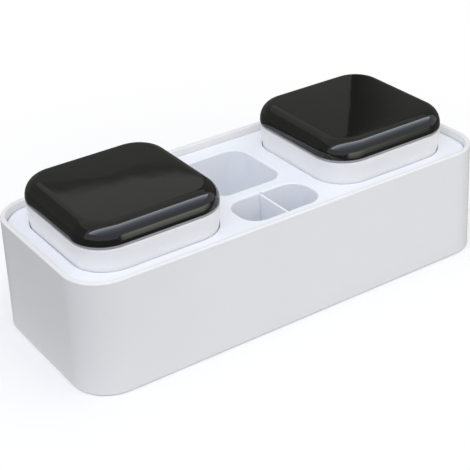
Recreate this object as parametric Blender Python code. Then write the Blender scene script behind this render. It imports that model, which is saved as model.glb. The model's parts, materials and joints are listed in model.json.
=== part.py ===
"""Wall toothbrush holder with two lidded cups.

A moulded body with a recessed tray holds two tumblers with dust lids, a pocket for
toothpaste and a pocket for toothbrushes that a thin plate splits in two. The body
hangs on a hooked plate that is taped to the wall.

Lengths are in metres. X runs along the body, +Y points to the wall and +Z is up.
The origin is the centre of the body's footprint.
"""
import math

import bmesh
import bpy
from mathutils import Matrix, Vector

# Facets on each quarter turn of a large corner, and round a small cylinder
CORNER_STEPS = 7
ROUND_STEPS = 14
EDGE_STEPS = 2
FOOT_EDGE_STEPS = 3
LID_EDGE_STEPS = 6

# Clearances: between two seated pieces, round a cup in its well, and past a cut face
SEAT_GAP = 0.0003
WELL_GAP = 0.0005
LID_GAP = 0.0005
OVERRUN = 0.001

# Body: a drafted tube with an upright back, and a rim that stands above the tray
BODY_HEIGHT = 0.0635
BODY_CORNER = 0.0217
BODY_DRAFT = math.radians(0.9)
BODY_WALL = 0.003
RIM_DEPTH = 0.0043
RIM_ROUND = 0.0009
BASE_ROUND = 0.0006
LEDGE_WIDTH = 0.0015
LEDGE_HEIGHT = 0.0016

# Lands of the tray round its four openings, measured at the tray's top. The land
# beside the pockets is the mean of the two.
END_LAND = 0.0122
FRONT_LAND = 0.0137
BACK_LAND = 0.0088
POCKET_SIDE_LAND = 0.0102
BRUSH_FRONT_LAND = 0.0119
POCKET_WEB = 0.008
PASTE_BACK_LAND = 0.0144

# Tray: a panel with four tubs hanging from it
PANEL_THICKNESS = 0.0025
TUB_WALL = 0.0016
TUB_FLOOR = 0.002
TUB_ROUND = 0.0025
MOUTH_ROUND = 0.0007
POCKET_DRAFT = math.radians(1.0)
BRUSH_POCKET_WIDTH = 0.0478
BRUSH_POCKET_DEPTH = 0.0257
BRUSH_POCKET_CORNER = 0.0104
PASTE_POCKET_WIDTH = 0.0429
PASTE_POCKET_CORNER = 0.0091
REST_RIB_HEIGHT = 0.001
REST_RIB_WIDTH = 0.002
REST_RIB_INNER_share = 0.4
REST_RIB_OUTER_share = 0.86
WELL_DRAIN_DIAMETER = 0.008
POCKET_DRAIN_DIAMETER = 0.006

# Divider in the brush pocket
DIVIDER_THICKNESS = 0.0012
DIVIDER_DROP = 0.0011
DIVIDER_ROUND = 0.0003
GROOVE_DEPTH = 0.0008

# Cups: straight drafted tumblers with a foot ring
CUP_MOUTH = 0.083
CUP_CORNER = 0.019
CUP_DRAFT = math.radians(3.5)
CUP_RISE = 0.0124
CUP_WALL = 0.002
CUP_FLOOR = 0.0024
CUP_ROUND = 0.004
CUP_LIP_ROUND = 0.0007
FOOT_RING_WIDTH = 0.005
FOOT_RECESS = 0.0008

# Lids: a domed cap, a liner that plugs the cup and a seal ring between cap and cup
SEAL_THICKNESS = 0.0012
SEAL_INSET = 0.0002
CAP_HEIGHT = 0.0105
CAP_SIDE = 0.0007
CAP_ROUND_WIDTH = 0.0081
CAP_WALL = 0.002
CAP_POST_DIAMETER = 0.005
CAP_POST_PLACE_share = 0.55
LINER_THICKNESS = 0.0015
LINER_PLUG_DEPTH = 0.006
LINER_WALL = 0.0015

# Bottom cover and the screws that draw it up to the tray's posts
COVER_THICKNESS = 0.0025
COVER_BOSS_DIAMETER = 0.0074
COVER_BOSS_HEIGHT = 0.002
POST_DIAMETER = 0.0065
POST_LAND = 0.0005
SCREW_DIAMETER = 0.0029
SCREW_LENGTH = 0.012
SCREW_TIP = 0.0015
SCREW_HEAD_DIAMETER = 0.0054
SCREW_HEAD_HEIGHT = 0.0017
SCREW_HEAD_SINK = 0.0004

# Wall plate with two hooks, in a recess in the body's back
PLATE_WIDTH = 0.084
PLATE_THICKNESS = 0.002
PLATE_CORNER = 0.006
PAD_THICKNESS = 0.001
RECESS_GAP = 0.0006
RECESS_WALL = 0.0024
HOOK_SPACING_share = 0.6
HOOK_WIDTH = 0.018
HOOK_THICKNESS = 0.004
HOOK_LIP_RISE = 0.006
HOOK_LIP_THICKNESS = 0.002
HOOK_LIP_GAP = 0.0004
HOOK_PLACE_share = 0.55
HOOK_ROUND = 0.0008
UNHOOK_SPARE = 0.002

# Heights, from the bottom up
TRAY_TOP = BODY_HEIGHT - RIM_DEPTH
PANEL_BOTTOM = TRAY_TOP - PANEL_THICKNESS
UPPER_LEDGE = PANEL_BOTTOM - SEAT_GAP
LOWER_LEDGE = COVER_THICKNESS + SEAT_GAP
TUB_BOTTOM = COVER_THICKNESS + SEAT_GAP
TUB_TOP = TUB_BOTTOM + TUB_FLOOR
COVER_BOSS_TOP = COVER_THICKNESS + COVER_BOSS_HEIGHT
CUP_FOOT = TUB_TOP + REST_RIB_HEIGHT + SEAT_GAP
CUP_LIP = TRAY_TOP + CUP_RISE
SEAL_BOTTOM = CUP_LIP + SEAT_GAP
SEAL_TOP = SEAL_BOTTOM + SEAL_THICKNESS
CAP_BOTTOM = SEAL_TOP + SEAT_GAP
CAP_TOP = CAP_BOTTOM + CAP_HEIGHT

# Plan, worked out from the cups, the pockets and the lands between them
HOLE_HALF = CUP_MOUTH / 2 - CUP_RISE * math.tan(CUP_DRAFT) + WELL_GAP
MIDDLE_HALF = (BRUSH_POCKET_WIDTH + PASTE_POCKET_WIDTH) / 4 + POCKET_SIDE_LAND
CUP_X = MIDDLE_HALF + HOLE_HALF
LEAN = BODY_HEIGHT * math.tan(BODY_DRAFT)
BASE_HALF_LENGTH = CUP_X + HOLE_HALF + END_LAND + LEAN
BASE_HALF_DEPTH = (FRONT_LAND + 2 * HOLE_HALF + BACK_LAND + LEAN) / 2
BACK_Y = BASE_HALF_DEPTH
RIM_FRONT_Y = LEAN - BASE_HALF_DEPTH
CUP_Y = BACK_Y - BACK_LAND - HOLE_HALF
BRUSH_FRONT_Y = RIM_FRONT_Y + BRUSH_FRONT_LAND
BRUSH_BACK_Y = BRUSH_FRONT_Y + BRUSH_POCKET_DEPTH
PASTE_FRONT_Y = BRUSH_BACK_Y + POCKET_WEB
PASTE_BACK_Y = BACK_Y - PASTE_BACK_LAND
LEDGE_CORNER = BODY_CORNER - LEAN - BODY_WALL - LEDGE_WIDTH
POST_REACH = LEDGE_CORNER - POST_LAND - max(POST_DIAMETER, COVER_BOSS_DIAMETER) / 2

# Wall plate: the tape, the plate and their gaps fill the recess in the back
TAPE_Y = BACK_Y - PAD_THICKNESS
PLATE_BACK_Y = TAPE_Y - SEAT_GAP
PLATE_FRONT_Y = PLATE_BACK_Y - PLATE_THICKNESS
RECESS_Y = PLATE_FRONT_Y - SEAT_GAP
RECESS_INNER_Y = RECESS_Y - RECESS_WALL
LIP_BACK_Y = RECESS_INNER_Y - HOOK_LIP_GAP
LIP_FRONT_Y = LIP_BACK_Y - HOOK_LIP_THICKNESS
UNHOOK_TRAVEL = HOOK_LIP_RISE + UNHOOK_SPARE
RECESS_TOP = UPPER_LEDGE - SEAT_GAP - RECESS_WALL
RECESS_BOTTOM = LOWER_LEDGE + LEDGE_HEIGHT + RECESS_WALL
PLATE_TOP = RECESS_TOP - RECESS_GAP
PLATE_BOTTOM = RECESS_BOTTOM + RECESS_GAP + UNHOOK_TRAVEL
NECK_TOP = PLATE_BOTTOM + (PLATE_TOP - PLATE_BOTTOM) * HOOK_PLACE_share
NECK_BOTTOM = NECK_TOP - HOOK_THICKNESS
HOOK_X = PLATE_WIDTH / 2 * HOOK_SPACING_share

# Turns a shape drawn in X and Z, level by level along -Y, into place
UPRIGHT = Matrix.Rotation(math.radians(90), 4, "X")


class Outline:
    """A rounded rectangle between two corners."""

    def __init__(self, x0, x1, y0, y1, radius):
        self.x0 = x0
        self.x1 = x1
        self.y0 = y0
        self.y1 = y1
        self.radius = radius

    def offset(self, by):
        """Sides moved out by a distance, with the corners kept concentric."""
        return Outline(self.x0 - by, self.x1 + by, self.y0 - by, self.y1 + by, self.radius + by)

    def points(self):
        """The outline's points, anticlockwise from the +X side."""
        half = min(self.x1 - self.x0, self.y1 - self.y0) / 2
        radius = min(self.radius, half)
        centres = (
            (self.x1 - radius, self.y1 - radius),
            (self.x0 + radius, self.y1 - radius),
            (self.x0 + radius, self.y0 + radius),
            (self.x1 - radius, self.y0 + radius),
        )
        points = []
        for quarter, (x, y) in enumerate(centres):
            for step in range(CORNER_STEPS + 1):
                angle = math.pi / 2 * (quarter + step / CORNER_STEPS)
                points.append((x + radius * math.cos(angle), y + radius * math.sin(angle)))
        return points


class Circle:
    """A circle about a point."""

    def __init__(self, x, y, radius):
        self.x = x
        self.y = y
        self.radius = radius

    def points(self):
        """Points round the circle, anticlockwise."""
        turn = 2 * math.pi / ROUND_STEPS
        return [
            (self.x + self.radius * math.cos(turn * i), self.y + self.radius * math.sin(turn * i))
            for i in range(ROUND_STEPS)
        ]


def square(x, y, half, radius):
    """A rounded square about a point."""
    return Outline(x - half, x + half, y - half, y + half, radius)


def edge_arc(inset, z, width, height, start, end, steps=EDGE_STEPS):
    """Insets and heights round an edge: a quarter ellipse about (inset, z), angles in degrees."""
    arc = []
    for step in range(steps + 1):
        angle = math.radians(start + (end - start) * step / steps)
        arc.append((inset + width * math.cos(angle), z + height * math.sin(angle)))
    return arc


def loft(bm, rings, closed=False, turn=None):
    """Skin a list of (outline, level) rings, and cap both ends unless the skin closes on itself."""
    loops = []
    for outline, level in rings:
        loops.append([bm.verts.new((x, y, level)) for x, y in outline.points()])
    pairs = list(zip(loops, loops[1:]))
    if closed:
        pairs.append((loops[-1], loops[0]))
    faces = []
    for lower, upper in pairs:
        for i in range(len(lower)):
            j = (i + 1) % len(lower)
            faces.append(bm.faces.new((lower[i], lower[j], upper[j], upper[i])))
    if not closed:
        faces.append(bm.faces.new(loops[0][::-1]))
        faces.append(bm.faces.new(loops[-1]))
    verts = [vert for loop in loops for vert in loop]
    if turn is not None:
        bmesh.ops.transform(bm, matrix=turn, verts=verts)
    bmesh.ops.recalc_face_normals(bm, faces=faces)


def extrude_x(bm, points, x0, x1):
    """A prism along X over a polygon of (y, z) points."""
    base = bm.faces.new([bm.verts.new((x0, y, z)) for y, z in points])
    grown = bmesh.ops.extrude_face_region(bm, geom=[base])
    tops = [item for item in grown["geom"] if isinstance(item, bmesh.types.BMVert)]
    bmesh.ops.translate(bm, vec=(x1 - x0, 0, 0), verts=tops)
    bmesh.ops.recalc_face_normals(bm, faces=bm.faces)


def plastic(name, colour, roughness, coat=0.0):
    """A moulded plastic or rubber, with its colour as seen on screen."""
    linear = [((c + 0.055) / 1.055) ** 2.4 for c in colour]
    material = bpy.data.materials.new(name)
    material.use_nodes = True
    shader = material.node_tree.nodes["Principled BSDF"]
    shader.inputs["Base Color"].default_value = (*linear, 1)
    shader.inputs["Roughness"].default_value = roughness
    shader.inputs["Metallic"].default_value = 0
    shader.inputs["Coat Weight"].default_value = coat
    return material


def metal(name, colour, roughness):
    """A bare metal."""
    material = plastic(name, colour, roughness)
    material.node_tree.nodes["Principled BSDF"].inputs["Metallic"].default_value = 1
    return material


def add_piece(name, bm, origin, material, parent=None):
    """Make an object of a mesh drawn in place, with its own origin, and hang it on its parent."""
    bmesh.ops.translate(bm, vec=-Vector(origin), verts=bm.verts)
    mesh = bpy.data.meshes.new(name)
    bm.to_mesh(mesh)
    bm.free()
    mesh.materials.append(material)
    mesh.shade_smooth()
    mesh.set_sharp_from_angle(angle=math.radians(35))
    piece = bpy.data.objects.new(name, mesh)
    piece.location = origin
    bpy.context.collection.objects.link(piece)
    if parent is not None:
        piece.parent = parent
        piece.matrix_parent_inverse = parent.matrix_world.inverted()
    bpy.context.view_layer.update()
    return piece


def combine(piece, name, bm, operation):
    """Cut a drawn shape from a piece, or add it to the piece, with a Boolean that stays live."""
    origin = piece.matrix_world.translation
    tool = add_piece(name, bm, origin, piece.data.materials[0], piece)
    tool.hide_render = True
    tool.display_type = "WIRE"
    step = piece.modifiers.new(name, "BOOLEAN")
    step.operation = operation
    step.solver = "EXACT"
    step.object = tool


def body_outline(inset, z):
    """The body's plan at a height: front and ends lean in, and the back stays upright."""
    lean = z * math.tan(BODY_DRAFT)
    half = BASE_HALF_LENGTH - lean - inset
    front = lean + inset - BASE_HALF_DEPTH
    return Outline(-half, half, front, BACK_Y - inset, BODY_CORNER - lean - inset)


def post_places():
    """Centres of the four screw posts, in the corners of the body."""
    x = BASE_HALF_LENGTH - BODY_CORNER + POST_REACH * math.cos(math.radians(45))
    y = BASE_HALF_DEPTH - BODY_CORNER + POST_REACH * math.sin(math.radians(45))
    return [(-x, -y), (x, -y), (-x, y), (x, y)]


def drain_places():
    """Centre and diameter of each drain: two wells, the paste pocket and two brush slots."""
    brush_y = (BRUSH_FRONT_Y + BRUSH_BACK_Y) / 2
    slot_x = BRUSH_POCKET_WIDTH / 4
    return [
        (-CUP_X, CUP_Y, WELL_DRAIN_DIAMETER),
        (CUP_X, CUP_Y, WELL_DRAIN_DIAMETER),
        (0, (PASTE_FRONT_Y + PASTE_BACK_Y) / 2, WELL_DRAIN_DIAMETER),
        (-slot_x, brush_y, POCKET_DRAIN_DIAMETER),
        (slot_x, brush_y, POCKET_DRAIN_DIAMETER),
    ]


def build_wall_plate(material):
    """The plate that is taped to the wall, with two upturned hooks."""
    bm = bmesh.new()
    plan = Outline(-PLATE_WIDTH / 2, PLATE_WIDTH / 2, PLATE_BOTTOM, PLATE_TOP, PLATE_CORNER)
    loft(bm, [(plan, -PLATE_BACK_Y), (plan, -PLATE_FRONT_Y)], turn=UPRIGHT)
    plate = add_piece("wall_plate", bm, (0, BACK_Y, NECK_TOP), material)
    lip_top = NECK_TOP + HOOK_LIP_RISE
    root = PLATE_FRONT_Y + PLATE_THICKNESS / 2
    profile = [
        (root, NECK_BOTTOM),
        (LIP_FRONT_Y + HOOK_ROUND, NECK_BOTTOM),
        (LIP_FRONT_Y, NECK_BOTTOM + HOOK_ROUND),
        (LIP_FRONT_Y, lip_top - HOOK_ROUND),
        (LIP_FRONT_Y + HOOK_ROUND, lip_top),
        (LIP_BACK_Y, lip_top - HOOK_ROUND),
        (LIP_BACK_Y, NECK_TOP),
        (root, NECK_TOP),
    ]
    bm = bmesh.new()
    for x in (-HOOK_X, HOOK_X):
        extrude_x(bm, profile, x - HOOK_WIDTH / 2, x + HOOK_WIDTH / 2)
    combine(plate, "hooks", bm, "UNION")
    return plate


def build_adhesive_pad(material, parent):
    """The foam tape between the plate and the wall."""
    bm = bmesh.new()
    plan = Outline(-PLATE_WIDTH / 2, PLATE_WIDTH / 2, PLATE_BOTTOM, PLATE_TOP, PLATE_CORNER)
    loft(bm, [(plan, -BACK_Y), (plan, -TAPE_Y)], turn=UPRIGHT)
    return add_piece("adhesive_pad", bm, (0, BACK_Y, NECK_TOP), material, parent)


def build_outer_shell(material, parent):
    """The body's wall with its rim, two inner ledges and the recess that takes the wall plate."""
    inner = BODY_WALL
    profile = [(BASE_ROUND, 0), (0, BASE_ROUND)]
    profile += edge_arc(RIM_ROUND, BODY_HEIGHT - RIM_ROUND, RIM_ROUND, RIM_ROUND, 180, 90)
    profile += edge_arc(inner - RIM_ROUND, BODY_HEIGHT - RIM_ROUND, RIM_ROUND, RIM_ROUND, 90, 0)
    profile += [
        (inner, UPPER_LEDGE),
        (inner + LEDGE_WIDTH, UPPER_LEDGE),
        (inner + LEDGE_WIDTH, UPPER_LEDGE - LEDGE_HEIGHT),
        (inner, UPPER_LEDGE - LEDGE_HEIGHT - LEDGE_WIDTH),
        (inner, LOWER_LEDGE + LEDGE_HEIGHT + LEDGE_WIDTH),
        (inner + LEDGE_WIDTH, LOWER_LEDGE + LEDGE_HEIGHT),
        (inner + LEDGE_WIDTH, LOWER_LEDGE),
        (inner, LOWER_LEDGE),
        (inner, 0),
    ]
    bm = bmesh.new()
    loft(bm, [(body_outline(inset, z), z) for inset, z in profile], closed=True)
    shell = add_piece("outer_shell", bm, (0, BACK_Y, NECK_TOP), material, parent)

    half = PLATE_WIDTH / 2 + RECESS_GAP
    recess = Outline(-half, half, RECESS_BOTTOM, RECESS_TOP, PLATE_CORNER + RECESS_GAP)
    bm = bmesh.new()
    loft(
        bm,
        [
            (recess.offset(RECESS_WALL), BODY_WALL / 2 - BACK_Y),
            (recess.offset(RECESS_WALL), -RECESS_INNER_Y - SEAT_GAP),
            (recess.offset(RECESS_WALL - SEAT_GAP), -RECESS_INNER_Y),
        ],
        turn=UPRIGHT,
    )
    combine(shell, "recess_backing", bm, "UNION")

    bm = bmesh.new()
    loft(bm, [(recess, -BACK_Y - OVERRUN), (recess, -RECESS_Y)], turn=UPRIGHT)
    combine(shell, "recess_cut", bm, "DIFFERENCE")

    bm = bmesh.new()
    half = HOOK_WIDTH / 2 + RECESS_GAP
    for x in (-HOOK_X, HOOK_X):
        window = Outline(
            x - half,
            x + half,
            NECK_BOTTOM - UNHOOK_TRAVEL - RECESS_GAP,
            NECK_TOP + SEAT_GAP,
            HOOK_ROUND,
        )
        loft(bm, [(window, -RECESS_Y - OVERRUN), (window, OVERRUN - RECESS_INNER_Y)], turn=UPRIGHT)
    combine(shell, "hook_windows", bm, "DIFFERENCE")
    return shell


def well_plan(x, z):
    """Inner plan of a cup's well at a height, parallel to the cup's side."""
    half = CUP_MOUTH / 2 - (CUP_LIP - z) * math.tan(CUP_DRAFT) + WELL_GAP
    return square(x, CUP_Y, half, CUP_CORNER + WELL_GAP)


def pocket_plan(width, front, back, corner, z):
    """Inner plan of a pocket at a height: it narrows a little towards its floor."""
    top = Outline(-width / 2, width / 2, front, back, corner)
    return top.offset((z - TRAY_TOP) * math.tan(POCKET_DRAFT))


def left_well(z):
    return well_plan(-CUP_X, z)


def right_well(z):
    return well_plan(CUP_X, z)


def paste_pocket(z):
    return pocket_plan(PASTE_POCKET_WIDTH, PASTE_FRONT_Y, PASTE_BACK_Y, PASTE_POCKET_CORNER, z)


def brush_pocket(z):
    return pocket_plan(BRUSH_POCKET_WIDTH, BRUSH_FRONT_Y, BRUSH_BACK_Y, BRUSH_POCKET_CORNER, z)


def tub_outside(bm, plan):
    """A tub's outer skin, from its rounded bottom up into the panel."""
    rings = []
    for inset, z in edge_arc(TUB_ROUND, TUB_BOTTOM + TUB_ROUND, TUB_ROUND, TUB_ROUND, 270, 180):
        rings.append((plan(z).offset(TUB_WALL - inset), z))
    top = TRAY_TOP - PANEL_THICKNESS / 2
    rings.append((plan(top).offset(TUB_WALL), top))
    loft(bm, rings)


def tub_cavity(bm, plan):
    """The space inside a tub, with a rounded floor and a rounded mouth."""
    rings = []
    for inset, z in edge_arc(TUB_ROUND, TUB_TOP + TUB_ROUND, TUB_ROUND, TUB_ROUND, 270, 180):
        rings.append((plan(z).offset(-inset), z))
    mouth = edge_arc(-MOUTH_ROUND, TRAY_TOP - MOUTH_ROUND, MOUTH_ROUND, MOUTH_ROUND, 0, 90)
    for inset, z in mouth:
        rings.append((plan(z).offset(-inset), z))
    rings.append((plan(TRAY_TOP).offset(MOUTH_ROUND), TRAY_TOP + OVERRUN))
    loft(bm, rings)


def build_inner_tray(material, parent):
    """The tray: a panel with two cup wells, two pockets, and posts for the cover's screws."""
    bm = bmesh.new()
    plan = body_outline(BODY_WALL + SEAT_GAP, BODY_HEIGHT)
    loft(bm, [(plan, PANEL_BOTTOM), (plan, TRAY_TOP)])
    tray = add_piece("inner_tray", bm, (0, 0, TRAY_TOP), material, parent)
    tubs = (left_well, right_well, paste_pocket, brush_pocket)

    bm = bmesh.new()
    for plan in tubs:
        tub_outside(bm, plan)
    for x, y in post_places():
        post = Circle(x, y, POST_DIAMETER / 2)
        loft(bm, [(post, COVER_BOSS_TOP + SEAT_GAP), (post, TRAY_TOP - PANEL_THICKNESS / 2)])
    combine(tray, "tubs_and_posts", bm, "UNION")

    bm = bmesh.new()
    for plan in tubs:
        tub_cavity(bm, plan)
    combine(tray, "tub_cavities", bm, "DIFFERENCE")

    bm = bmesh.new()
    reach = well_plan(0, TUB_TOP).x1
    near = reach * REST_RIB_INNER_share
    far = reach * REST_RIB_OUTER_share
    side = REST_RIB_WIDTH / 2
    for x in (-CUP_X, CUP_X):
        for turn in range(4):
            angle = math.radians(90 * turn)
            place = Matrix.Translation((x, CUP_Y, 0)) @ Matrix.Rotation(angle, 4, "Z")
            rib = Outline(near, far, -side, side, side / 2)
            loft(bm, [(rib, TUB_TOP - TUB_FLOOR / 2), (rib, TUB_TOP + REST_RIB_HEIGHT)], turn=place)
    combine(tray, "cup_rests", bm, "UNION")

    bm = bmesh.new()
    for x, y, diameter in drain_places():
        drain = Circle(x, y, diameter / 2)
        loft(bm, [(drain, TUB_BOTTOM - OVERRUN), (drain, TUB_TOP + OVERRUN)])
    for x, y in post_places():
        pilot = Circle(x, y, SCREW_DIAMETER / 2 + SEAT_GAP)
        loft(bm, [(pilot, COVER_BOSS_TOP - OVERRUN), (pilot, COVER_THICKNESS + SCREW_LENGTH)])
    combine(tray, "drains_and_pilots", bm, "DIFFERENCE")

    bm = bmesh.new()
    side = DIVIDER_THICKNESS / 2 + SEAT_GAP
    groove = [
        (brush_pocket(TUB_TOP).y0 - GROOVE_DEPTH, TUB_TOP),
        (brush_pocket(TUB_TOP).y1 + GROOVE_DEPTH, TUB_TOP),
        (brush_pocket(TRAY_TOP).y1 + GROOVE_DEPTH, TRAY_TOP),
        (brush_pocket(TRAY_TOP).y1 + GROOVE_DEPTH, TRAY_TOP + OVERRUN),
        (brush_pocket(TRAY_TOP).y0 - GROOVE_DEPTH, TRAY_TOP + OVERRUN),
        (brush_pocket(TRAY_TOP).y0 - GROOVE_DEPTH, TRAY_TOP),
    ]
    extrude_x(bm, groove, -side, side)
    combine(tray, "divider_grooves", bm, "DIFFERENCE")
    return tray


def build_brush_divider(material, parent):
    """The thin plate that stands in the brush pocket's two grooves."""
    reach = GROOVE_DEPTH - SEAT_GAP
    foot = TUB_TOP + SEAT_GAP
    head = TRAY_TOP - DIVIDER_DROP
    plate = [
        (brush_pocket(foot).y0 - reach + DIVIDER_THICKNESS, foot),
        (brush_pocket(foot).y1 + reach - DIVIDER_THICKNESS, foot),
        (brush_pocket(foot).y1 + reach, foot + DIVIDER_THICKNESS),
        (brush_pocket(head).y1 + reach, head),
        (brush_pocket(head).y0 - reach, head),
        (brush_pocket(foot).y0 - reach, foot + DIVIDER_THICKNESS),
    ]
    bm = bmesh.new()
    side = DIVIDER_THICKNESS / 2
    extrude_x(bm, plate, -side, side)
    middle = (BRUSH_FRONT_Y + BRUSH_BACK_Y) / 2
    divider = add_piece("brush_divider", bm, (0, middle, foot), material, parent)
    edge = divider.modifiers.new("rounded_edges", "BEVEL")
    edge.width = DIVIDER_ROUND
    edge.segments = 2
    edge.limit_method = "ANGLE"
    return divider


def build_base_cover(material, parent):
    """The bottom cover, with sunk screw holes and a drain under each tub."""
    bm = bmesh.new()
    plan = body_outline(BODY_WALL + SEAT_GAP, COVER_THICKNESS)
    loft(bm, [(plan, 0), (plan, COVER_THICKNESS)])
    cover = add_piece("base_cover", bm, (0, 0, 0), material, parent)

    bm = bmesh.new()
    for x, y in post_places():
        boss = Circle(x, y, COVER_BOSS_DIAMETER / 2)
        loft(bm, [(boss, COVER_THICKNESS / 2), (boss, COVER_BOSS_TOP)])
    combine(cover, "screw_bosses", bm, "UNION")

    bm = bmesh.new()
    seat = SCREW_HEAD_SINK + SCREW_HEAD_HEIGHT + SEAT_GAP
    for x, y in post_places():
        wide = Circle(x, y, SCREW_HEAD_DIAMETER / 2 + SEAT_GAP)
        narrow = Circle(x, y, SCREW_DIAMETER / 2 + SEAT_GAP)
        rings = [(wide, -OVERRUN), (wide, seat), (narrow, seat), (narrow, COVER_BOSS_TOP + OVERRUN)]
        loft(bm, rings)
    for x, y, diameter in drain_places():
        drain = Circle(x, y, diameter / 2 + WELL_GAP)
        loft(bm, [(drain, -OVERRUN), (drain, COVER_THICKNESS + OVERRUN)])
    combine(cover, "screw_holes_and_drains", bm, "DIFFERENCE")
    return cover


def build_base_screw(corner, x, y, material, parent):
    """A self-tapping screw that goes up through the cover into a post."""
    head = SCREW_HEAD_DIAMETER / 2
    shank = SCREW_DIAMETER / 2
    head_middle = SCREW_HEAD_SINK + SCREW_HEAD_HEIGHT / 2
    head_top = SCREW_HEAD_SINK + SCREW_HEAD_HEIGHT
    tip = SCREW_HEAD_SINK + SCREW_LENGTH
    rings = [
        (Circle(x, y, head - SCREW_HEAD_HEIGHT / 2), SCREW_HEAD_SINK),
        (Circle(x, y, head), head_middle),
        (Circle(x, y, head), head_top),
        (Circle(x, y, shank), head_top),
        (Circle(x, y, shank), tip - SCREW_TIP),
        (Circle(x, y, shank / 4), tip),
    ]
    bm = bmesh.new()
    loft(bm, rings)
    return add_piece("base_screw_" + corner, bm, (x, y, SCREW_HEAD_SINK), material, parent)


def build_cup(side, x, material, parent):
    """A tumbler: foot ring, rounded foot, drafted wall and rounded lip."""

    def plan(z, inset=0):
        half = CUP_MOUTH / 2 - (CUP_LIP - z) * math.tan(CUP_DRAFT)
        return square(x, CUP_Y, half, CUP_CORNER).offset(-inset)

    ring_inset = CUP_ROUND + FOOT_RING_WIDTH
    floor = CUP_FOOT + FOOT_RECESS + CUP_FLOOR
    lip = CUP_LIP - CUP_LIP_ROUND
    inner_round = CUP_ROUND - CUP_WALL / 2
    rings = [
        (plan(CUP_FOOT, ring_inset + FOOT_RECESS), CUP_FOOT + FOOT_RECESS),
        (plan(CUP_FOOT, ring_inset), CUP_FOOT),
    ]
    outside = edge_arc(
        CUP_ROUND, CUP_FOOT + CUP_ROUND, CUP_ROUND, CUP_ROUND, 270, 180, FOOT_EDGE_STEPS
    )
    outside += edge_arc(CUP_LIP_ROUND, lip, CUP_LIP_ROUND, CUP_LIP_ROUND, 180, 90)
    inside = edge_arc(CUP_WALL - CUP_LIP_ROUND, lip, CUP_LIP_ROUND, CUP_LIP_ROUND, 90, 0)
    turn = CUP_WALL + inner_round
    inside += edge_arc(
        turn, floor + inner_round, inner_round, inner_round, 180, 270, FOOT_EDGE_STEPS
    )
    rings += [(plan(z, inset), z) for inset, z in outside + inside]
    bm = bmesh.new()
    loft(bm, rings)
    return add_piece(side + "_cup", bm, (x, CUP_Y, CUP_FOOT), material, parent)


def build_lid_cap(side, x, material, parent):
    """The domed cap: a wide soft edge, a flat top, and four weld posts inside."""
    mouth = square(x, CUP_Y, CUP_MOUTH / 2, CUP_CORNER)
    spring = CAP_BOTTOM + CAP_SIDE
    rise = CAP_TOP - spring
    width = CAP_ROUND_WIDTH
    rings = []
    inside = edge_arc(CAP_WALL + width, spring, width, rise - CAP_WALL, 90, 180, LID_EDGE_STEPS // 2)
    for inset, z in inside + [(CAP_WALL, CAP_BOTTOM), (0, CAP_BOTTOM)]:
        rings.append((mouth.offset(-inset), z))
    for inset, z in edge_arc(width, spring, width, rise, 180, 90, LID_EDGE_STEPS):
        rings.append((mouth.offset(-inset), z))
    bm = bmesh.new()
    loft(bm, rings)
    cap = add_piece(side + "_lid_cap", bm, (x, CUP_Y, CAP_BOTTOM), material, parent)
    bm = bmesh.new()
    place = CUP_MOUTH / 2 * CAP_POST_PLACE_share
    for dx, dy in ((-place, -place), (place, -place), (-place, place), (place, place)):
        post = Circle(x + dx, CUP_Y + dy, CAP_POST_DIAMETER / 2)
        foot = CAP_BOTTOM + LINER_THICKNESS + SEAT_GAP
        loft(bm, [(post, foot), (post, CAP_TOP - CAP_WALL / 2)])
    combine(cap, side + "_weld_posts", bm, "UNION")
    return cap


def build_lid_liner(side, x, material, parent):
    """The liner: a flange inside the cap and a skirt that plugs the cup's mouth."""
    mouth = square(x, CUP_Y, CUP_MOUTH / 2, CUP_CORNER)
    skirt_bottom = CUP_LIP - LINER_PLUG_DEPTH
    taper = LINER_PLUG_DEPTH * math.tan(CUP_DRAFT)
    skirt = CUP_WALL + LID_GAP
    flange = CAP_WALL + SEAT_GAP
    profile = [
        (skirt + LINER_WALL, CAP_BOTTOM),
        (skirt + taper + LINER_WALL, skirt_bottom),
        (skirt + taper, skirt_bottom),
        (skirt, CUP_LIP),
        (skirt, CAP_BOTTOM),
        (flange, CAP_BOTTOM),
        (flange, CAP_BOTTOM + LINER_THICKNESS),
    ]
    bm = bmesh.new()
    loft(bm, [(mouth.offset(-inset), z) for inset, z in profile])
    return add_piece(side + "_lid_liner", bm, (x, CUP_Y, CAP_BOTTOM), material, parent)


def build_lid_seal(side, x, material, parent):
    """The soft ring that sits round the liner's skirt and shows below the cap."""
    mouth = square(x, CUP_Y, CUP_MOUTH / 2, CUP_CORNER)
    inner = CUP_WALL + LID_GAP - SEAT_GAP
    profile = [
        (SEAL_INSET, SEAL_BOTTOM),
        (SEAL_INSET, SEAL_TOP),
        (inner, SEAL_TOP),
        (inner, SEAL_BOTTOM),
    ]
    bm = bmesh.new()
    loft(bm, [(mouth.offset(-inset), z) for inset, z in profile], closed=True)
    return add_piece(side + "_lid_seal", bm, (x, CUP_Y, CAP_BOTTOM), material, parent)


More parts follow.
